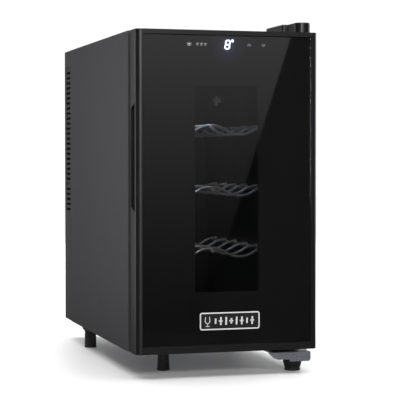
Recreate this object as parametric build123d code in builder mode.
"""A small thermoelectric wine cooler for eight bottles.

Millimetres. X runs to the right, Y to the back and Z up; the door faces -Y.
The origin is on the floor, in the middle of the cooler's width and depth.
"""

from build123d import *
import os

os.makedirs("parts", exist_ok=True)

# ---------------------------------------------------------------- overall sizes
overall_width = 252.0
overall_depth = 480.0
cabinet_height = 428.0
foot_height = 32.0

# ---------------------------------------------------------------- walls and layers
shell_thickness = 0.8
return_flange = 12.0
base_pan_thickness = 1.0
pan_flange_height = 15.0
back_panel_thickness = 1.0
front_frame_thickness = 4.0
liner_wall = 2.0
liner_flange = 8.0
rear_cover_depth = 55.0
rear_cover_wall = 2.5
clearance = 0.3
running_gap = 0.05

# ---------------------------------------------------------------- cold compartment
side_insulation = 38.0
interior_corner = 6.0
floor_insulation = 40.0
ceiling_insulation = 48.0
back_insulation = 35.0
duct_depth = 38.0

# ---------------------------------------------------------------- door
door_frame_depth = 31.0
inner_panel_thickness = 3.0
inner_panel_inset = 3.0
gasket_gap = 10.0
door_end_gap = 1.0
stile_front_width = 9.0
top_rail_front = 6.5
bottom_rail_front = 10.0
stile_width = 26.0
bottom_rail_width = 26.0
top_rail_width = 8.5
stile_edge_radius = 8.0
glass_thickness = 4.0
glass_recess = 0.6
print_thickness = 0.3
window_width = 90.0
window_height = 273.0
window_bottom = 80.0
spacer_width = 8.0
spacer_setback = 5.0
inner_glass_thickness = 3.0
inner_glass_lap = 12.0
badge_width = 84.0
badge_height = 24.0
badge_thickness = 0.6
badge_shift = 2.0
badge_gap = 26.5
recess_depth = 12.0
recess_height = 144.0
recess_flare = 7.5
recess_bottom = 186.0
recess_front_wall = 7.5
recess_back_wall = 2.0
control_drop = 18.0

# ---------------------------------------------------------------- seal
seal_width = 12.0
seal_margin = 27.0
gasket_head = 3.6
magnet_width = 8.0
magnet_thickness = 1.8
strip_width = 10.0
strip_thickness = 0.8
strip_cover = 1.5

# ---------------------------------------------------------------- hinges
pin_inset = 17.0
pin_diameter = 6.0
pin_engagement = 12.0
bush_wall = 1.5
bracket_thickness = 2.5
lower_bracket_drop = 4.0
lower_bracket_width = 52.0
lower_flange_height = 10.6
cover_height = 13.0
cover_wall = 1.5

# ---------------------------------------------------------------- racks
wire_diameter = 4.0
rail_diameter = 5.0
rail_side_gap = 4.0
wave_height = 12.5
weld_depth = 1.1
wire_overhang = 1.4
rack_spacing = 84.5
lowest_rack_height = 82.0
rack_front_gap = 29.0
rack_back_gap = 3.0
wires_per_rack = 6
ledge_width = 7.0
ledge_thickness = 4.0

# ---------------------------------------------------------------- cooling unit
peltier_height = 248.0
peltier_side = 40.0
peltier_thickness = 3.8
cold_block_side = 50.0
sink_base = 6.0
hot_sink_width = 120.0
hot_sink_height = 100.0
hot_fin_height = 20.0
cold_sink_width = 110.0
cold_sink_height = 90.0
cold_fin_height = 18.0
fin_pitch = 8.0
fin_thickness = 1.5
hot_fan_side = 92.0
hot_fan_depth = 20.0
cold_fan_side = 60.0
cold_fan_depth = 10.0
fan_wall = 3.0
tip_gap = 1.5
clamp_offset = 32.0

# ---------------------------------------------------------------- fasteners and feet
foot_bolt = 8.0
foot_travel_room = 22.0
nut_height = 6.0
nut_radius = 7.0
hinge_screw = 4.0
hinge_screw_reach = 12.0
clamp_screw = 4.0
cover_screw = 4.0
cover_boss = 6.5
door_screw = 3.0
door_screw_reach = 9.0
fan_screw = 3.5
screw_head = 3.8
screw_head_height = 2.2

# ---------------------------------------------------------------- derived places
half_width = overall_width / 2
front_y = -overall_depth / 2
rear_y = overall_depth / 2
cabinet_bottom = foot_height
cabinet_top = foot_height + cabinet_height
cabinet_mid = (cabinet_bottom + cabinet_top) / 2

door_bottom = cabinet_bottom + door_end_gap
door_top = cabinet_top - door_end_gap
door_frame_back = front_y + door_frame_depth
door_back = door_frame_back + inner_panel_thickness
frame_front = door_back + gasket_gap
frame_back = frame_front + front_frame_thickness

shell_back = rear_y - rear_cover_depth
back_panel_back = shell_back - shell_thickness
back_panel_front = back_panel_back - back_panel_thickness

interior_half = half_width - side_insulation
interior_width = 2 * interior_half
interior_floor = cabinet_bottom + floor_insulation
interior_ceiling = cabinet_top - ceiling_insulation
interior_mid = (interior_floor + interior_ceiling) / 2
interior_height = interior_ceiling - interior_floor
interior_back = shell_back - back_insulation
duct_front = interior_back - duct_depth
liner_back = interior_back + liner_wall

pin_x = half_width - pin_inset
pin_y = front_y + pin_inset
peltier_z = interior_floor + peltier_height

glass_front = front_y + glass_recess
glass_back = glass_front + glass_thickness
print_back = glass_back + print_thickness
glass_width = overall_width - 2 * stile_front_width
glass_bottom = door_bottom + bottom_rail_front
glass_top = door_top - top_rail_front
glass_mid = (glass_bottom + glass_top) / 2
glass_height = glass_top - glass_bottom

window_low = door_bottom + window_bottom
window_mid = window_low + window_height / 2
spacer_inner_width = window_width + 2 * spacer_setback
spacer_inner_height = window_height + 2 * spacer_setback
spacer_outer_width = spacer_inner_width + 2 * spacer_width
spacer_outer_height = spacer_inner_height + 2 * spacer_width
inner_glass_front = door_frame_back - inner_glass_thickness
inner_opening_width = spacer_outer_width + 2.0
inner_opening_height = spacer_outer_height + 2.0
inner_glass_width = inner_opening_width + 2 * inner_glass_lap
inner_glass_height = inner_opening_height + 2 * inner_glass_lap

seal_half = pin_x
seal_low = interior_floor - seal_margin
seal_high = interior_ceiling + seal_margin
seal_mid = (seal_low + seal_high) / 2
seal_line_width = 2 * seal_half - seal_width
seal_line_height = seal_high - seal_low - seal_width

crest_to_rail = (wire_diameter + rail_diameter) / 2 - weld_depth
bottle_pitch = interior_half - rail_side_gap
rack_trough = [interior_floor + lowest_rack_height + n * rack_spacing for n in range(3)]
rail_z = [z + wave_height - crest_to_rail for z in rack_trough]
rack_front = frame_front + rack_front_gap
rack_back = duct_front - rack_back_gap

pan_floor = cabinet_bottom + base_pan_thickness
left_foot_at = (-half_width + 58.5, front_y + 83.0)
right_foot_at = (pin_x - 6.0, frame_front - 8.0)
rear_foot_at = [(side * (half_width - 14.0), shell_back - 76.0) for side in (-1, 1)]

bracket_right = pin_x + 8.0
bracket_left = bracket_right - lower_bracket_width
bracket_back = frame_back + 56.0
bracket_top = door_bottom - lower_bracket_drop
bracket_bottom = bracket_top - bracket_thickness
upper_bracket_top = cabinet_top + bracket_thickness
lower_screw_at = [
    (bracket_left + 10.0, frame_back + 22.0),
    (bracket_left + 10.0, frame_back + 44.0),
    (bracket_left + 40.0, frame_back + 44.0),
]
upper_screw_at = [(pin_x - 4.0, frame_back + 20.0), (pin_x - 4.0, frame_back + 48.0)]
clamp_at = [(sx * clamp_offset, peltier_z + sz * clamp_offset) for sx in (-1, 1) for sz in (-1, 1)]
cover_screw_at = [
    (side * (half_width - 8.0), z)
    for side in (-1, 1)
    for z in (cabinet_bottom + 14.0, cabinet_mid, cabinet_top - 14.0)
]
screw_column = half_width - stile_width + 7.0
door_mid = (door_bottom + door_top) / 2
door_height = door_top - door_bottom
door_screw_at = [
    (side * screw_column, door_mid + step * (door_height / 2 - 24.0))
    for side in (-1, 1)
    for step in (-1, 0, 1)
]


# ---------------------------------------------------------------- helpers
def facing(y):
    """A sketch plane at depth y that faces the front of the cooler."""
    return Plane.XZ.offset(-y)


def block(x, y, z, mode=Mode.ADD):
    """A box from x[0] to x[1], y[0] to y[1] and z[0] to z[1], added to or cut from the part."""
    with Locations(((x[0] + x[1]) / 2, (y[0] + y[1]) / 2, (z[0] + z[1]) / 2)):
        Box(abs(x[1] - x[0]), abs(y[1] - y[0]), abs(z[1] - z[0]), mode=mode)


def upright(x, y, low, high, radius, mode=Mode.ADD):
    """An upright round bar or hole of one radius between two heights."""
    with Locations((x, y, (low + high) / 2)):
        Cylinder(radius, abs(high - low), mode=mode)


def through(x, z, front, back, radius, mode=Mode.ADD):
    """A round bar or hole that runs from front to back."""
    with Locations(Location((x, (front + back) / 2, z), (90, 0, 0))):
        Cylinder(radius, abs(back - front), mode=mode)


def save(part, name):
    """Label one finished piece and write its STEP file."""
    part.label = name
    export_step(part, f"parts/{name}.step")


# ---------------------------------------------------------------- sketches that several pieces share
def opening_sketch(grow=0.0):
    """Draw the cold compartment's outline, larger all round by grow."""
    with Locations((0, interior_mid)):
        RectangleRounded(interior_width + 2 * grow, interior_height + 2 * grow, interior_corner + grow)


def seal_ring(band):
    """Draw a ring of the given width along the line where the door seals."""
    with Locations((0, seal_mid)):
        RectangleRounded(seal_line_width + band, seal_line_height + band, 2.0 + band / 2)
        RectangleRounded(seal_line_width - band, seal_line_height - band, 2.0, mode=Mode.SUBTRACT)


def peltier_square(side, front, back, mode=Mode.ADD):
    """A square block or hole centred on the Peltier module."""
    block(
        (-side / 2, side / 2), (front, back), (peltier_z - side / 2, peltier_z + side / 2), mode=mode
    )


# ================================================================ cabinet

# A painted steel sheet is bent into the top and the two sides, with turned-in flanges.
shell_inner = half_width - shell_thickness
shell_ceiling = cabinet_top - shell_thickness
foam_front = frame_back + shell_thickness
with BuildPart() as outer_shell:
    block((-half_width, half_width), (frame_back, shell_back), (cabinet_bottom, cabinet_top))
    top_corners = outer_shell.edges().filter_by(Axis.Y).group_by(Axis.Z)[-1]
    fillet(top_corners, radius=0.7)
    block(
        (-shell_inner, shell_inner),
        (foam_front, back_panel_back),
        (cabinet_bottom, shell_ceiling),
        mode=Mode.SUBTRACT,
    )
    block(
        (-half_width + return_flange, half_width - return_flange),
        (frame_back, shell_back),
        (cabinet_bottom, cabinet_top - return_flange),
        mode=Mode.SUBTRACT,
    )
    for x, y in upper_screw_at:
        upright(x, y, shell_ceiling, cabinet_top, hinge_screw / 2, mode=Mode.SUBTRACT)
    for x, z in cover_screw_at:
        through(x, z, back_panel_back, shell_back, cover_screw / 2, mode=Mode.SUBTRACT)
save(outer_shell.part, "outer_shell")

# The base pan closes the bottom, with a flange up each side.
with BuildPart() as base_pan:
    block(
        (-shell_inner, shell_inner),
        (foam_front, back_panel_front),
        (cabinet_bottom, cabinet_bottom + pan_flange_height),
    )
    block(
        (-shell_inner + base_pan_thickness, shell_inner - base_pan_thickness),
        (foam_front, back_panel_front),
        (pan_floor, cabinet_bottom + pan_flange_height),
        mode=Mode.SUBTRACT,
    )
    for x, y in [left_foot_at, *rear_foot_at]:
        upright(x, y, cabinet_bottom, pan_floor, foot_bolt / 2 + clearance, mode=Mode.SUBTRACT)
    for x, y in lower_screw_at:
        upright(x, y, cabinet_bottom, pan_floor, hinge_screw / 2, mode=Mode.SUBTRACT)
save(base_pan.part, "base_pan")

# The back panel closes the foam space and carries the hot side of the cooling unit.
with BuildPart() as back_panel:
    block(
        (-shell_inner, shell_inner),
        (back_panel_front, back_panel_back),
        (cabinet_bottom, shell_ceiling),
    )
    peltier_square(cold_block_side, back_panel_front, back_panel_back, mode=Mode.SUBTRACT)
    for x, z in clamp_at:
        through(x, z, back_panel_front, back_panel_back, clamp_screw / 2, mode=Mode.SUBTRACT)
    for x, z in cover_screw_at:
        through(x, z, back_panel_front, back_panel_back, cover_screw / 2, mode=Mode.SUBTRACT)
save(back_panel.part, "back_panel")

# The front frame is a plastic ring that trims the cabinet's mouth. A groove in its back
# holds the steel strip that the door's magnet pulls on.
groove_depth = front_frame_thickness - strip_cover
with BuildPart() as front_frame:
    with BuildSketch(facing(frame_back)):
        with Locations((0, cabinet_mid)):
            RectangleRounded(overall_width, cabinet_height, 2.0)
        with Locations((0, interior_mid)):
            RectangleRounded(interior_width, interior_height, interior_corner, mode=Mode.SUBTRACT)
    extrude(amount=front_frame_thickness)
    with BuildSketch(facing(frame_back)):
        seal_ring(strip_width)
    extrude(amount=groove_depth, mode=Mode.SUBTRACT)
save(front_frame.part, "front_frame")

with BuildPart() as strike_strip:
    with BuildSketch(facing(frame_back - groove_depth + strip_thickness)):
        seal_ring(strip_width)
    extrude(amount=strip_thickness)
save(strike_strip.part, "strike_strip")

# The liner is one moulded tub.
with BuildPart() as liner:
    with BuildSketch(facing(liner_back)):
        opening_sketch(liner_wall)
    extrude(amount=liner_back - frame_back)
    with BuildSketch(facing(frame_back + liner_wall)):
        opening_sketch(liner_flange)
    extrude(amount=liner_wall)
    with BuildSketch(facing(interior_back)):
        opening_sketch()
    extrude(amount=interior_back - frame_back, mode=Mode.SUBTRACT)
    peltier_square(cold_block_side, interior_back, liner_back, mode=Mode.SUBTRACT)
    for x, z in clamp_at:
        through(x, z, interior_back, liner_back, clamp_screw / 2, mode=Mode.SUBTRACT)
save(liner.part, "liner")

# Six ledges are bonded to the liner's sides, and the racks rest and slide on them.
ledge_front = frame_back + 10.0
ledge_back = rack_back + 6.0
with BuildPart() as rack_ledges:
    for height in rail_z:
        top = height - rail_diameter / 2 - clearance
        for side in (-1, 1):
            block(
                (side * (interior_half - ledge_width), side * interior_half),
                (ledge_front, ledge_back),
                (top - ledge_thickness, top),
            )
save(rack_ledges.part, "rack_ledges")

# The temperature sensor is a round probe moulded into a foot that is bonded to the liner's right side.
sensor_radius = 2.5
sensor_length = 16.0
sensor_at = (interior_half - 6.0, duct_front - 30.0)
sensor_low = rack_trough[-1] + 48.0
sensor_foot_half = 4.5
sensor_foot_low = sensor_low + 5.0
sensor_foot_top = sensor_low + 11.0
with BuildPart() as temperature_sensor:
    upright(*sensor_at, sensor_low, sensor_low + sensor_length, sensor_radius)
    fillet(temperature_sensor.edges().filter_by(GeomType.CIRCLE), radius=1.0)
    block(
        (sensor_at[0] - sensor_foot_half, interior_half),
        (sensor_at[1] - sensor_foot_half, sensor_at[1] + sensor_foot_half),
        (sensor_foot_low, sensor_foot_top),
    )
save(temperature_sensor.part, "temperature_sensor")

# Rigid foam fills the space between the liner and the steel.
stud_top = cabinet_bottom + foot_travel_room
foot_well = stud_top + 2.0
cover_screw_tip = back_panel_front - 8.0
with BuildPart() as foam_insulation:
    block((-shell_inner, shell_inner), (foam_front, back_panel_front), (pan_floor, shell_ceiling))
    for side in (-1, 1):
        block(
            (side * (shell_inner - base_pan_thickness), side * shell_inner),
            (foam_front, back_panel_front),
            (pan_floor, cabinet_bottom + pan_flange_height),
            mode=Mode.SUBTRACT,
        )
    with BuildSketch(facing(liner_back)):
        opening_sketch(liner_wall)
    extrude(amount=liner_back - foam_front, mode=Mode.SUBTRACT)
    with BuildSketch(facing(frame_back + liner_wall)):
        opening_sketch(liner_flange)
    extrude(amount=liner_wall - shell_thickness, mode=Mode.SUBTRACT)
    peltier_square(cold_block_side, liner_back, back_panel_front, mode=Mode.SUBTRACT)
    for x, z in clamp_at:
        through(x, z, liner_back, back_panel_front, clamp_screw / 2, mode=Mode.SUBTRACT)
    for x, z in cover_screw_at:
        through(x, z, cover_screw_tip, back_panel_front, cover_screw / 2, mode=Mode.SUBTRACT)
    for x, y in [left_foot_at, *rear_foot_at]:
        upright(x, y, pan_floor, foot_well, nut_radius, mode=Mode.SUBTRACT)
    for x, y in lower_screw_at:
        upright(x, y, pan_floor, pan_floor + hinge_screw_reach, hinge_screw / 2, mode=Mode.SUBTRACT)
    for x, y in upper_screw_at:
        upright(
            x, y, shell_ceiling - hinge_screw_reach, shell_ceiling, hinge_screw / 2, mode=Mode.SUBTRACT
        )
save(foam_insulation.part, "foam_insulation")

# ================================================================ feet

bolt_radius = foot_bolt / 2
nut_bore = bolt_radius + running_gap
right_bolt_top = door_bottom - 1.4


def levelling_foot(place, pad_top, base_radius, top_radius, bolt_top):
    """A tapered plastic pad with a bolt standing up from it, turned about its own axis."""
    x, y = place
    with BuildPart() as foot:
        with BuildSketch(facing(y)):
            with BuildLine():
                Polyline(
                    (x, 0.0),
                    (x + base_radius - 1.0, 0.0),
                    (x + base_radius, 1.0),
                    (x + top_radius, pad_top - 6.0),
                    (x + top_radius, pad_top),
                    (x + bolt_radius, pad_top),
                    (x + bolt_radius, bolt_top - 1.0),
                    (x + bolt_radius - 1.0, bolt_top),
                    (x, bolt_top),
                    close=True,
                )
            make_face()
        revolve(axis=Axis((x, y, 0), (0, 0, 1)))
    return foot.part


save(levelling_foot(left_foot_at, cabinet_bottom - clearance, 9.0, 8.2, stud_top), "front_left_foot")
save(
    levelling_foot(right_foot_at, bracket_bottom - clearance, 11.0, 13.0, right_bolt_top),
    "front_right_foot",
)

# The rear feet are fixed: a rubber pad that widens to a flat top, held by a screw from below.
rear_foot_radius = 9.0
rear_foot_flare = 12.0
foot_screw_low = 3.0
with BuildPart() as rear_feet:
    for x, y in rear_foot_at:
        with BuildSketch(facing(y)):
            with BuildLine():
                Polyline(
                    (x + bolt_radius, 0.0),
                    (x + rear_foot_radius - 1.0, 0.0),
                    (x + rear_foot_radius, 1.0),
                    (x + rear_foot_radius, cabinet_bottom - 6.0),
                    (x + rear_foot_flare, cabinet_bottom - 4.0),
                    (x + rear_foot_flare, cabinet_bottom),
                    (x + bolt_radius, cabinet_bottom),
                    close=True,
                )
            make_face()
        revolve(axis=Axis((x, y, 0), (0, 0, 1)))
save(rear_feet.part, "rear_feet")

with BuildPart() as rear_foot_screws:
    for x, y in rear_foot_at:
        upright(x, y, foot_screw_low, pan_floor + nut_height, bolt_radius)
save(rear_foot_screws.part, "rear_foot_screws")

# Nuts on the base pan clamp the rear screws and take the thread of the front left foot.
with BuildPart() as foot_nuts:
    for x, y in [left_foot_at, *rear_foot_at]:
        with BuildSketch(Plane.XY.offset(pan_floor)):
            with Locations((x, y)):
                RegularPolygon(nut_radius - 0.2, 6)
        extrude(amount=nut_height)
    for x, y in rear_foot_at:
        upright(x, y, pan_floor, pan_floor + nut_height, bolt_radius, mode=Mode.SUBTRACT)
    upright(*left_foot_at, pan_floor, pan_floor + nut_height, nut_bore, mode=Mode.SUBTRACT)
save(foot_nuts.part, "foot_nuts")

# ================================================================ hinges on the cabinet

# The lower bracket steps down in front of the cabinet to carry the pin and the right foot.
step_back = frame_front + bracket_thickness
flange_front = front_y + 2.0
flange_low = bracket_top - lower_flange_height
with BuildPart() as lower_hinge_bracket:
    block((bracket_left, bracket_right), (flange_front, step_back), (bracket_bottom, bracket_top))
    with BuildSketch(facing(flange_front + bracket_thickness)):
        with BuildLine():
            Polyline(
                (bracket_left - 8.0, bracket_top),
                (bracket_left, flange_low + 3.0),
                (bracket_left + 6.0, flange_low + 1.0),
                (bracket_left + 22.0, flange_low + 1.0),
                (bracket_left + 23.0, flange_low - 2.0),
                (bracket_right - 2.0, flange_low - 2.0),
                (bracket_right, flange_low + 1.0),
                (bracket_right, bracket_top),
                close=True,
            )
        make_face()
    extrude(amount=bracket_thickness)
    block((bracket_left, bracket_right), (frame_front, step_back), (bracket_bottom, cabinet_bottom))
    block(
        (bracket_left, bracket_right),
        (frame_front, bracket_back),
        (cabinet_bottom - bracket_thickness, cabinet_bottom),
    )
    upright(*right_foot_at, bracket_bottom, bracket_top, nut_bore, mode=Mode.SUBTRACT)
    upright(pin_x, pin_y, bracket_bottom, bracket_top, pin_diameter / 2, mode=Mode.SUBTRACT)
    for x, y in lower_screw_at:
        upright(x, y, bracket_bottom, cabinet_bottom, hinge_screw / 2, mode=Mode.SUBTRACT)
save(lower_hinge_bracket.part, "lower_hinge_bracket")

rivet_height = 1.5
rivet_radius = pin_diameter / 2 + 1.5
pin_chamfer = 0.8
with BuildPart() as lower_hinge_pin:
    upright(pin_x, pin_y, bracket_bottom, door_bottom + pin_engagement, pin_diameter / 2)
    pin_tip = lower_hinge_pin.edges().filter_by(GeomType.CIRCLE).sort_by(Axis.Z)[-1]
    chamfer(pin_tip, length=pin_chamfer)
    upright(pin_x, pin_y, bracket_bottom - rivet_height, bracket_bottom, rivet_radius)

# The upper bracket lies on the cabinet's top and reaches out over the door.
arm_width = 18.0
arm_back = frame_back + 60.0
with BuildPart() as upper_hinge_bracket:
    with BuildSketch(Plane.XY.offset(cabinet_top)):
        with Locations((pin_x, pin_y)):
            Circle(arm_width / 2)
        with Locations((pin_x, (pin_y + arm_back) / 2)):
            Rectangle(arm_width, arm_back - pin_y)
        with Locations((pin_x - 4.0, frame_back + 34.0)):
            RectangleRounded(24.0, 50.0, 3.0)
    extrude(amount=bracket_thickness)
    upright(pin_x, pin_y, cabinet_top, upper_bracket_top, pin_diameter / 2, mode=Mode.SUBTRACT)
    for x, y in upper_screw_at:
        upright(x, y, cabinet_top, upper_bracket_top, hinge_screw / 2, mode=Mode.SUBTRACT)
save(upper_hinge_bracket.part, "upper_hinge_bracket")

with BuildPart() as upper_hinge_pin:
    upright(pin_x, pin_y, door_top - pin_engagement, upper_bracket_top, pin_diameter / 2)
    pin_tip = upper_hinge_pin.edges().filter_by(GeomType.CIRCLE).sort_by(Axis.Z)[0]
    chamfer(pin_tip, length=pin_chamfer)
    upright(pin_x, pin_y, upper_bracket_top, upper_bracket_top + rivet_height, rivet_radius)

with BuildPart() as hinge_pins:
    add(lower_hinge_pin.part)
    add(upper_hinge_pin.part)
save(hinge_pins.part, "hinge_pins")

with BuildPart() as hinge_screws:
    seat = cabinet_bottom - bracket_thickness
    for x, y in lower_screw_at:
        upright(x, y, seat, pan_floor + hinge_screw_reach, hinge_screw / 2)
        upright(x, y, seat - screw_head_height, seat, screw_head)
    for x, y in upper_screw_at:
        upright(x, y, shell_ceiling - hinge_screw_reach, upper_bracket_top, hinge_screw / 2)
        upright(x, y, upper_bracket_top, upper_bracket_top + screw_head_height, screw_head)
save(hinge_screws.part, "hinge_screws")

# A moulded cover hides the upper bracket: a round nose over the pin and a wider body behind.
nose_radius = 11.0
cover_body_width = 31.0
cover_body_front = frame_back - 4.0
cover_body_back = frame_back + 66.0
cover_bottom = cabinet_top + clearance


def cover_outline(inset):
    """Draw the hinge cover's outline, drawn in by inset all round."""
    with Locations((pin_x, pin_y)):
        Circle(nose_radius - inset)
    with Locations((pin_x, (pin_y + cover_body_back) / 2 - inset)):
        Rectangle(2 * (nose_radius - inset), cover_body_back - pin_y)
    with Locations((pin_x - 3.0, (cover_body_front + cover_body_back) / 2)):
        RectangleRounded(
            cover_body_width - 2 * inset,
            cover_body_back - cover_body_front - 2 * inset,
            4.0 - inset,
        )


with BuildPart() as upper_hinge_cover:
    with BuildSketch(Plane.XY.offset(cover_bottom)):
        cover_outline(0.0)
    extrude(amount=cover_height - clearance)
    top_rim = upper_hinge_cover.faces().sort_by(Axis.Z)[-1].edges()
    fillet(top_rim, radius=1.4)
    with BuildSketch(Plane.XY.offset(cover_bottom)):
        cover_outline(cover_wall)
    extrude(amount=cover_height - clearance - cover_wall, mode=Mode.SUBTRACT)
save(upper_hinge_cover.part, "upper_hinge_cover")

# ================================================================ door

# The door frame is a deep moulded ring. The glass drops into its front, and a finger recess
# is moulded into the side away from the hinge.
bush_radius = pin_diameter / 2 + running_gap + bush_wall
bush_depth = pin_engagement + 1.0
recess_low = door_bottom + recess_bottom
recess_high = recess_low + recess_height
recess_front = front_y + recess_front_wall
recess_back = door_frame_back - recess_back_wall
with BuildPart() as door_frame:
    with BuildSketch(facing(door_frame_back)):
        with Locations((0, door_mid)):
            Rectangle(overall_width, door_height)
    extrude(amount=door_frame_depth)
    front_uprights = door_frame.edges().filter_by(Axis.Z).group_by(Axis.Y)[0]
    fillet(front_uprights, radius=stile_edge_radius)
    with BuildSketch(facing(print_back)):
        with Locations((0, glass_mid)):
            Rectangle(glass_width + 2 * clearance, glass_height + 2 * clearance)
    extrude(amount=print_back - front_y + 1.0, mode=Mode.SUBTRACT)
    block(
        (-half_width + stile_width, half_width - stile_width),
        (front_y, door_frame_back),
        (door_bottom + bottom_rail_width, door_top - top_rail_width),
        mode=Mode.SUBTRACT,
    )
    with BuildSketch(Plane.YZ.offset(-half_width)):
        with BuildLine():
            Polyline(
                (recess_front, recess_low),
                (recess_front, recess_high),
                (recess_back, recess_high - recess_flare),
                (recess_back, recess_low + recess_flare),
                close=True,
            )
        make_face()
    extrude(amount=recess_depth, mode=Mode.SUBTRACT)
    upright(pin_x, pin_y, door_bottom, door_bottom + bush_depth, bush_radius, mode=Mode.SUBTRACT)
    upright(pin_x, pin_y, door_top - bush_depth, door_top, bush_radius, mode=Mode.SUBTRACT)
    for x, z in door_screw_at:
        through(
            x,
            z,
            door_frame_back - door_screw_reach,
            door_frame_back,
            door_screw / 2,
            mode=Mode.SUBTRACT,
        )
save(door_frame.part, "door_frame")

# The outer pane is full size. A black print on its back leaves the window and the key symbols clear.
with BuildPart() as door_glass:
    with BuildSketch(facing(glass_back)):
        with Locations((0, glass_mid)):
            Rectangle(glass_width, glass_height)
    extrude(amount=glass_thickness)
    chamfer(door_glass.faces().sort_by(Axis.Y)[0].edges(), length=0.5)
save(door_glass.part, "door_glass")

control_z = door_top - control_drop
display_width = 18.0
display_height = 15.0
key_x = (-53.0, -36.0, 30.0, 50.0)
key_radius = 3.0
with BuildPart() as glass_print:
    with BuildSketch(facing(print_back)):
        with Locations((0, glass_mid)):
            Rectangle(glass_width, glass_height)
        with Locations((0, window_mid)):
            Rectangle(window_width, window_height, mode=Mode.SUBTRACT)
        with Locations((0, control_z)):
            Rectangle(display_width, display_height, mode=Mode.SUBTRACT)
        with Locations(*[(x, control_z) for x in key_x]):
            Circle(key_radius, mode=Mode.SUBTRACT)
    extrude(amount=print_thickness)
save(glass_print.part, "glass_print")

with BuildPart() as glass_spacer:
    with BuildSketch(facing(inner_glass_front)):
        with Locations((0, window_mid)):
            Rectangle(spacer_outer_width, spacer_outer_height)
            Rectangle(spacer_inner_width, spacer_inner_height, mode=Mode.SUBTRACT)
    extrude(amount=inner_glass_front - print_back)
save(glass_spacer.part, "glass_spacer")

with BuildPart() as inner_glass:
    with BuildSketch(facing(door_frame_back)):
        with Locations((0, window_mid)):
            Rectangle(inner_glass_width, inner_glass_height)
    extrude(amount=inner_glass_thickness)
save(inner_glass.part, "inner_glass")

control_pocket_low = control_z - 12.0
foam_top = control_pocket_low
with BuildPart() as door_foam:
    block(
        (-half_width + stile_width, half_width - stile_width),
        (print_back, door_frame_back),
        (door_bottom + bottom_rail_width, foam_top),
    )
    block(
        (-spacer_outer_width / 2, spacer_outer_width / 2),
        (print_back, door_frame_back),
        (window_mid - spacer_outer_height / 2, window_mid + spacer_outer_height / 2),
        mode=Mode.SUBTRACT,
    )
    block(
        (-inner_glass_width / 2, inner_glass_width / 2),
        (inner_glass_front, door_frame_back),
        (window_mid - inner_glass_height / 2, window_mid + inner_glass_height / 2),
        mode=Mode.SUBTRACT,
    )
save(door_foam.part, "door_foam")

# The inner panel closes the back of the door, with a raised rim round the inner window.
dyke_height = 3.0
head_seat = door_back - 1.8
head_radius = 3.0
with BuildPart() as door_inner_panel:
    with BuildSketch(facing(door_back)):
        with Locations((0, door_mid)):
            RectangleRounded(
                overall_width - 2 * inner_panel_inset, door_height - 2 * inner_panel_inset, 4.0
            )
        with Locations((0, window_mid)):
            RectangleRounded(inner_opening_width, inner_opening_height, 3.0, mode=Mode.SUBTRACT)
    extrude(amount=inner_panel_thickness)
    with BuildSketch(facing(door_back + dyke_height)):
        with Locations((0, window_mid)):
            RectangleRounded(inner_opening_width + 24.0, inner_opening_height + 16.0, 6.0)
            RectangleRounded(
                inner_opening_width + 14.0, inner_opening_height + 6.0, 4.0, mode=Mode.SUBTRACT
            )
    extrude(amount=dyke_height)
    for x, z in door_screw_at:
        through(x, z, door_frame_back, door_back, door_screw / 2, mode=Mode.SUBTRACT)
        through(x, z, head_seat, door_back, head_radius, mode=Mode.SUBTRACT)
save(door_inner_panel.part, "door_inner_panel")

with BuildPart() as door_screws:
    for x, z in door_screw_at:
        through(x, z, door_frame_back - door_screw_reach, head_seat, door_screw / 2)
        through(x, z, head_seat, door_back - 0.1, head_radius)
save(door_screws.part, "door_screws")

# The magnetic gasket: a foot on the panel, a narrow bellows and a head that holds the magnet.
gasket_back = frame_front - clearance
gasket_foot = 1.6
magnet_back = gasket_back - (gasket_head - magnet_thickness) / 2
with BuildPart() as door_gasket:
    with BuildSketch(facing(gasket_back)):
        seal_ring(seal_width)
    extrude(amount=gasket_head)
    with BuildSketch(facing(gasket_back - gasket_head)):
        seal_ring(seal_width / 2)
    extrude(amount=gasket_back - gasket_head - door_back)
    with BuildSketch(facing(door_back + gasket_foot)):
        seal_ring(seal_width - 2.0)
    extrude(amount=gasket_foot)
    with BuildSketch(facing(magnet_back)):
        seal_ring(magnet_width)
    extrude(amount=magnet_thickness, mode=Mode.SUBTRACT)
save(door_gasket.part, "door_gasket")

with BuildPart() as gasket_magnet:
    with BuildSketch(facing(magnet_back)):
        seal_ring(magnet_width)
    extrude(amount=magnet_thickness)
save(gasket_magnet.part, "gasket_magnet")

# Controls sit behind the glass, above the window.
board_thickness = 1.6
board_front = print_back + 4.0
board_back = board_front + board_thickness
with BuildPart() as control_board:
    block((-75.0, 75.0), (board_front, board_back), (control_z - 9.0, control_z + 8.0))
save(control_board.part, "control_board")

with BuildPart() as display_module:
    block(
        (-display_width / 2 - 2.0, display_width / 2 + 2.0),
        (print_back, board_front),
        (control_z - display_height / 2 - 1.0, control_z + display_height / 2 + 0.4),
    )
save(display_module.part, "display_module")

with BuildPart() as touch_pads:
    for x in key_x:
        through(x, control_z, print_back, board_front, key_radius + 2.0)
save(touch_pads.part, "touch_pads")

with BuildPart() as badge:
    with BuildSketch(facing(glass_front)):
        with Locations((badge_shift, window_low - badge_gap - badge_height / 2)):
            RectangleRounded(badge_width, badge_height, 2.5)
    extrude(amount=badge_thickness)
save(badge.part, "badge")

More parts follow.
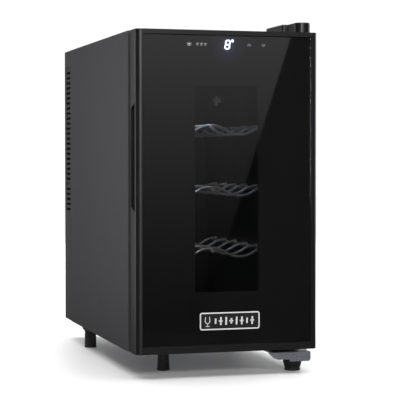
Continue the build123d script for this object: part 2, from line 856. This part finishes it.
# Plastic bushes in the door turn on the hinge pins. The lower one has a flange that carries
# the door's weight on the bracket.
pin_hole = pin_diameter / 2 + running_gap
washer_bottom = bracket_top + clearance
with BuildPart() as hinge_bushes:
    upright(pin_x, pin_y, door_bottom, door_bottom + bush_depth, bush_radius)
    upright(pin_x, pin_y, washer_bottom, door_bottom, bush_radius + 3.0)
    upright(
        pin_x, pin_y, washer_bottom, door_bottom + bush_depth, pin_hole, mode=Mode.SUBTRACT
    )
    upright(pin_x, pin_y, door_top - bush_depth, door_top, bush_radius)
    upright(pin_x, pin_y, door_top - bush_depth, door_top, pin_hole, mode=Mode.SUBTRACT)
save(hinge_bushes.part, "hinge_bushes")

# ================================================================ racks

# A rack wire is a wave of equal arcs, tangent where they meet, high at the middle and the sides.
quarter = bottle_pitch / 4
arc_radius = (quarter**2 + (wave_height / 2) ** 2) / wave_height
first_wire = rack_front + 9.0
last_wire = rack_back - 19.0
wire_y = [
    first_wire + n * (last_wire - first_wire) / (wires_per_rack - 1) for n in range(wires_per_rack)
]


def wave_wire(trough):
    """One wavy wire across the rack, its centre line in the plane y = 0."""
    crest = trough + wave_height
    middle = trough + wave_height / 2
    with BuildPart() as wire:
        with BuildLine(facing(0.0)):
            Line((-bottle_pitch - wire_overhang, crest), (-bottle_pitch, crest))
            RadiusArc((-bottle_pitch, crest), (-3 * quarter, middle), arc_radius)
            for n in (-3, -1, 1):
                bend = arc_radius if n == -1 else -arc_radius
                RadiusArc((n * quarter, middle), ((n + 2) * quarter, middle), bend)
            RadiusArc((3 * quarter, middle), (bottle_pitch, crest), arc_radius)
            Line((bottle_pitch, crest), (bottle_pitch + wire_overhang, crest))
        start = Plane(
            (-bottle_pitch - wire_overhang, 0, crest), x_dir=(0, 1, 0), z_dir=(1, 0, 0)
        )
        with BuildSketch(start):
            Circle(wire_diameter / 2)
        sweep()
    return wire.part


# Three straight rails carry the wires, which are grooved where they are welded to the rails.
for name, height, trough in zip(("bottom", "middle", "top"), rail_z, rack_trough):
    with BuildPart() as rails:
        for x in (-bottle_pitch, 0.0, bottle_pitch):
            through(x, height, rack_front, rack_back, rail_diameter / 2)
    save(rails.part, f"rack_{name}_rails")

    wire = wave_wire(trough)
    with BuildPart() as wires:
        with Locations(*[(0, y, 0) for y in wire_y]):
            add(wire)
        add(rails.part, mode=Mode.SUBTRACT)
    save(wires.part, f"rack_{name}_wires")

# ================================================================ cooling unit

fan_centre = peltier_z
duct_wall = 2.5
duct_half = interior_half - 13.0
duct_low = peltier_z - 110.0
duct_high = interior_ceiling - 4.0
duct_inside = duct_front + duct_wall
cold_fan_back = duct_inside + cold_fan_depth
cold_fan_bore = cold_fan_side / 2 - fan_wall
hot_fan_back = rear_y - rear_cover_wall
hot_fan_front = hot_fan_back - hot_fan_depth
hot_fan_bore = hot_fan_side / 2 - fan_wall
corner_share = 0.448
fan_screw_reach = 9.0
spoke_width = 4.0


def fan_corners(side):
    """The four screw places of a square fan, about the fan's centre."""
    reach = side * corner_share
    return [(sx * reach, fan_centre + sz * reach) for sx in (-1, 1) for sz in (-1, 1)]


def ring_slots(count, pitch, slot):
    """Draw round slots about the fan's centre, broken by a cross of spokes."""
    reach = 2 * (count + 1) * pitch
    with Locations((0, fan_centre)):
        for n in range(count, 0, -1):
            Circle(n * pitch + slot / 2)
            Circle(n * pitch - slot / 2, mode=Mode.SUBTRACT)
        Rectangle(spoke_width, reach, mode=Mode.SUBTRACT)
        Rectangle(reach, spoke_width, mode=Mode.SUBTRACT)


# The duct cover hides the cold fan and sink, with a round grille and slots above and below.
with BuildPart() as duct_cover:
    with BuildSketch(facing(interior_back)):
        with Locations((0, (duct_low + duct_high) / 2)):
            RectangleRounded(2 * duct_half, duct_high - duct_low, 5.0)
    extrude(amount=duct_depth)
    fillet(duct_cover.faces().sort_by(Axis.Y)[0].edges(), radius=1.5)
    block(
        (-duct_half + duct_wall, duct_half - duct_wall),
        (duct_inside, interior_back),
        (duct_low + duct_wall, duct_high - duct_wall),
        mode=Mode.SUBTRACT,
    )
    with BuildSketch(facing(duct_inside)):
        ring_slots(4, 6.0, 3.6)
    extrude(amount=duct_wall, mode=Mode.SUBTRACT)
    slots = 9
    slot_pitch = (2 * duct_half - 24.0) / slots
    for low in (duct_low + 14.0, duct_high - 20.0):
        for n in range(slots):
            x = (n - (slots - 1) / 2) * slot_pitch
            block((x - 4.5, x + 4.5), (duct_front, duct_inside), (low, low + 6.0), mode=Mode.SUBTRACT)
    for x, z in fan_corners(cold_fan_side):
        through(x, z, duct_front, duct_inside, fan_screw / 2, mode=Mode.SUBTRACT)
save(duct_cover.part, "duct_cover")


def finned_sink(base, fins, width, height):
    """A heat sink: a flat base between two depths and upright fins between two others."""
    low = peltier_z - height / 2
    high = peltier_z + height / 2
    count = int(width / fin_pitch / 2) * 2
    with BuildPart() as sink:
        block((-width / 2, width / 2), base, (low, high))
        for n in range(count):
            x = (n - (count - 1) / 2) * fin_pitch
            block((x - fin_thickness / 2, x + fin_thickness / 2), fins, (low, high))
        for x, z in clamp_at:
            through(x, z, *base, clamp_screw / 2, mode=Mode.SUBTRACT)
    return sink.part


cold_base_front = interior_back - sink_base
hot_base_back = shell_back + sink_base
cold_fins = (cold_base_front - cold_fin_height, cold_base_front)
hot_fins = (hot_base_back, hot_base_back + hot_fin_height)
save(
    finned_sink((cold_base_front, interior_back), cold_fins, cold_sink_width, cold_sink_height),
    "cold_sink",
)
save(finned_sink((shell_back, hot_base_back), hot_fins, hot_sink_width, hot_sink_height), "hot_sink")

# The Peltier module sits between a solid block from the cold side and the hot sink's base.
peltier_front = shell_back - peltier_thickness
with BuildPart() as cold_block:
    peltier_square(cold_block_side, interior_back, peltier_front)
save(cold_block.part, "cold_block")

with BuildPart() as peltier_module:
    peltier_square(peltier_side, peltier_front, shell_back)
save(peltier_module.part, "peltier_module")

with BuildPart() as peltier_seal:
    peltier_square(cold_block_side, peltier_front, shell_back)
    peltier_square(peltier_side, peltier_front, shell_back, mode=Mode.SUBTRACT)
save(peltier_seal.part, "peltier_seal")

clamp_head_radius = 3.0
with BuildPart() as clamp_screws:
    for x, z in clamp_at:
        through(x, z, cold_base_front, hot_base_back, clamp_screw / 2)
        through(x, z, hot_base_back, hot_base_back + 3.0, clamp_head_radius)
save(clamp_screws.part, "clamp_screws")

hub_share = 0.2
strut_depth = 2.0
rotor_gap = 0.6
post_radius = 2.0
post_length = 3.1
blade_share = 0.11


def fan_frame(front, back, side, bore, screw_from):
    """A square fan housing with a round duct, a hub plate and four struts behind the blades."""
    with BuildPart() as frame:
        with BuildSketch(facing(back)):
            with Locations((0, fan_centre)):
                RectangleRounded(side, side, 4.0)
                Circle(bore, mode=Mode.SUBTRACT)
        extrude(amount=back - front)
        with BuildSketch(facing(back)):
            with Locations((0, fan_centre)):
                Circle(side * hub_share)
                Rectangle(2 * bore + 2.0, 3.0)
                Rectangle(3.0, 2 * bore + 2.0)
        extrude(amount=strut_depth)
        through(0, fan_centre, back - strut_depth - post_length, back - strut_depth, post_radius)
        for x, z in fan_corners(side):
            through(x, z, *screw_from, fan_screw / 2, mode=Mode.SUBTRACT)
    return frame.part


def fan_rotor(front, back, side, bore, blades):
    """A hub with pitched blades that turns on the housing's post."""
    hub = side * hub_share
    tip = bore - tip_gap
    low = front + 1.0
    high = back - strut_depth - rotor_gap
    half_blade = side * blade_share
    with BuildPart() as blade:
        with BuildSketch(Plane.XY.offset(fan_centre + hub - 1.0)):
            with BuildLine():
                Polyline(
                    (-half_blade, low + 0.6),
                    (-half_blade + 1.4, low),
                    (half_blade, high - 0.8),
                    (half_blade - 1.4, high),
                    close=True,
                )
            make_face()
        extrude(amount=tip - hub + 1.0)
    turning = Axis((0, 0, fan_centre), (0, 1, 0))
    with BuildPart() as rotor:
        for n in range(blades):
            add(blade.part.rotate(turning, n * 360 / blades))
        through(0, fan_centre, low - 1.0, high + 1.0, tip, mode=Mode.INTERSECT)
        through(0, fan_centre, low, high, hub)
        through(
            0, fan_centre, high - post_length, high, post_radius + running_gap, mode=Mode.SUBTRACT
        )
    return rotor.part


cold_screws_in = (duct_inside, duct_inside + fan_screw_reach)
hot_screws_in = (hot_fan_back - fan_screw_reach, hot_fan_back)
cold_fan = (duct_inside, cold_fan_back, cold_fan_side, cold_fan_bore)
hot_fan = (hot_fan_front, hot_fan_back, hot_fan_side, hot_fan_bore)
save(fan_frame(*cold_fan, cold_screws_in), "cold_fan_frame")
save(fan_rotor(*cold_fan, 7), "cold_fan_rotor")
save(fan_frame(*hot_fan, hot_screws_in), "hot_fan_frame")
save(fan_rotor(*hot_fan, 7), "hot_fan_rotor")

rear_head_seat = rear_y - 1.6
with BuildPart() as fan_screws:
    for x, z in fan_corners(cold_fan_side):
        through(x, z, duct_front, duct_inside + fan_screw_reach, fan_screw / 2)
        through(x, z, duct_front - 1.6, duct_front, screw_head - 0.6)
    for x, z in fan_corners(hot_fan_side):
        through(x, z, hot_fan_back - fan_screw_reach, rear_head_seat, fan_screw / 2)
        through(x, z, rear_head_seat, rear_y - 0.1, screw_head - 0.6)
save(fan_screws.part, "fan_screws")

# ================================================================ rear compartment

# The rear cover is a vented moulding over the hot sink, the fan and the power supply.
inlet_at = (-half_width + 46.0, cabinet_bottom + 40.0)
inlet_width = 27.4
inlet_height = 19.9
louvre_low = cabinet_bottom + 173.0
louvre_high = cabinet_bottom + 402.0
louvre_pitch = 8.0
louvre_slot = 4.0
louvre_recess = 1.0
head_well = shell_back + 12.0
with BuildPart() as rear_cover:
    block((-half_width, half_width), (shell_back, rear_y), (cabinet_bottom, cabinet_top))
    rear_uprights = rear_cover.edges().filter_by(Axis.Z).group_by(Axis.Y)[-1]
    fillet(rear_uprights, radius=5.0)
    fillet(rear_cover.faces().sort_by(Axis.Y)[-1].edges(), radius=1.5)
    block(
        (-half_width + rear_cover_wall, half_width - rear_cover_wall),
        (shell_back, hot_fan_back),
        (cabinet_bottom + rear_cover_wall, cabinet_top - rear_cover_wall),
        mode=Mode.SUBTRACT,
    )
    for x, z in cover_screw_at:
        through(x, z, shell_back, hot_fan_back, cover_boss)
    for x, z in cover_screw_at:
        through(x, z, shell_back, head_well, cover_screw / 2, mode=Mode.SUBTRACT)
        through(x, z, head_well, rear_y, screw_head, mode=Mode.SUBTRACT)
    for side in (-1, 1):
        block(
            (side * (half_width - louvre_recess), side * half_width),
            (shell_back + 6.0, rear_y - 6.0),
            (louvre_low, louvre_high),
            mode=Mode.SUBTRACT,
        )
    louvres = int((louvre_high - louvre_low) / louvre_pitch)
    for n in range(louvres):
        low = louvre_low + louvre_slot / 2 + n * louvre_pitch
        for side in (-1, 1):
            block(
                (side * (half_width - rear_cover_wall), side * half_width),
                (shell_back + 12.0, rear_y - 12.0),
                (low, low + louvre_slot),
                mode=Mode.SUBTRACT,
            )
    with BuildSketch(facing(rear_y)):
        ring_slots(7, 5.8, 3.4)
    extrude(amount=rear_cover_wall, mode=Mode.SUBTRACT)
    for n in range(9):
        low = cabinet_bottom + 30.0 + n * 8.0
        block((20.0, 84.0), (hot_fan_back, rear_y), (low, low + 4.0), mode=Mode.SUBTRACT)
        low = fan_centre + 62.0 + n * 8.0
        block((-50.0, 50.0), (hot_fan_back, rear_y), (low, low + 4.0), mode=Mode.SUBTRACT)
    for x, z in fan_corners(hot_fan_side):
        through(x, z, hot_fan_back, rear_y, fan_screw / 2, mode=Mode.SUBTRACT)
        through(x, z, rear_head_seat, rear_y, screw_head - 0.5, mode=Mode.SUBTRACT)
    with BuildSketch(facing(rear_y)):
        with Locations(inlet_at):
            Rectangle(inlet_width + 2 * clearance, inlet_height + 2 * clearance)
    extrude(amount=rear_cover_wall, mode=Mode.SUBTRACT)
save(rear_cover.part, "rear_cover")

with BuildPart() as rear_cover_screws:
    for x, z in cover_screw_at:
        through(x, z, cover_screw_tip, head_well, cover_screw / 2)
        through(x, z, head_well, head_well + screw_head_height, screw_head - 0.3)
save(rear_cover_screws.part, "rear_cover_screws")

# The power supply board stands on four posts from the back panel.
supply_x = (4.0, 104.0)
supply_z = (cabinet_bottom + 20.0, cabinet_bottom + 110.0)
supply_front = shell_back + 12.0
supply_back = supply_front + board_thickness
with BuildPart() as power_board:
    block(supply_x, (supply_front, supply_back), supply_z)
    for x in (supply_x[0] + 6.0, supply_x[1] - 16.0):
        for z in (supply_z[0] + 6.0, supply_z[1] - 6.0):
            through(x, z, back_panel_back, supply_front, 3.5)
save(power_board.part, "power_board")

with BuildPart() as power_parts:
    left = supply_x[0]
    low = supply_z[0]
    block((left + 12, left + 46), (supply_back, supply_back + 26), (low + 44, low + 74))
    block((left + 52, left + 55), (supply_back, supply_back + 24), (low + 40, low + 80))
    block((left + 70, left + 96), (supply_back, supply_back + 9), (low + 10, low + 20))
    for x, z, radius, height in (
        (left + 20, low + 22, 9.0, 28.0),
        (left + 42, low + 20, 5.0, 18.0),
        (left + 58, low + 20, 5.0, 18.0),
        (left + 70, low + 52, 6.0, 22.0),
    ):
        through(x, z, supply_back, supply_back + height, radius)
save(power_parts.part, "power_parts")

# The mains inlet is a three-pin socket body fixed inside the rear cover.
inlet_x, inlet_z = inlet_at
inlet_mouth = rear_y - 0.2
inlet_floor = rear_y - 20.0
inlet_body_front = inlet_floor - 6.0
pin_places = [(inlet_x - 7.0, inlet_z - 1.5), (inlet_x + 7.0, inlet_z - 1.5), (inlet_x, inlet_z + 2.5)]


def contact_blades(front, back, mode=Mode.ADD):
    """The three flat contact blades between two depths."""
    for x, z in pin_places:
        block((x - 1.0, x + 1.0), (front, back), (z - 2.0, z + 2.0), mode=mode)


with BuildPart() as mains_inlet:
    with BuildSketch(facing(inlet_mouth)):
        with Locations(inlet_at):
            Rectangle(inlet_width, inlet_height)
    extrude(amount=inlet_mouth - inlet_body_front)
    with BuildSketch(facing(hot_fan_back)):
        with Locations(inlet_at):
            Rectangle(inlet_width + 8.0, inlet_height + 6.0)
    extrude(amount=2.0)
    with BuildSketch(facing(inlet_mouth)):
        with Locations(inlet_at):
            Rectangle(inlet_width - 2.8, inlet_height - 2.9)
    extrude(amount=inlet_mouth - inlet_floor, mode=Mode.SUBTRACT)
    contact_blades(inlet_body_front, inlet_floor, mode=Mode.SUBTRACT)
save(mains_inlet.part, "mains_inlet")

with BuildPart() as inlet_pins:
    contact_blades(inlet_body_front - 6.0, rear_y - 6.0)
save(inlet_pins.part, "inlet_pins")

# ================================================================ interior lamp

lamp_y = (frame_back + 26.0, frame_back + 40.0)
lamp_half = 34.0
lamp_board_height = 1.5
with BuildPart() as lamp_board:
    block(
        (-lamp_half + 3.0, lamp_half - 3.0),
        (lamp_y[0] + 2.0, lamp_y[1] - 2.0),
        (interior_ceiling - lamp_board_height, interior_ceiling),
    )
    for n in range(6):
        x = (n - 2.5) * 10.0
        middle = (lamp_y[0] + lamp_y[1]) / 2
        block(
            (x - 1.4, x + 1.4),
            (middle - 1.75, middle + 1.75),
            (interior_ceiling - lamp_board_height - 0.8, interior_ceiling - lamp_board_height),
        )
save(lamp_board.part, "lamp_board")

with BuildPart() as lamp_lens:
    block((-lamp_half, lamp_half), lamp_y, (interior_ceiling - 6.0, interior_ceiling))
    fillet(lamp_lens.edges().filter_by(Axis.X).group_by(Axis.Z)[0], radius=2.0)
    block(
        (-lamp_half + 1.5, lamp_half - 1.5),
        (lamp_y[0] + 1.5, lamp_y[1] - 1.5),
        (interior_ceiling - 4.6, interior_ceiling),
        mode=Mode.SUBTRACT,
    )
save(lamp_lens.part, "lamp_lens")
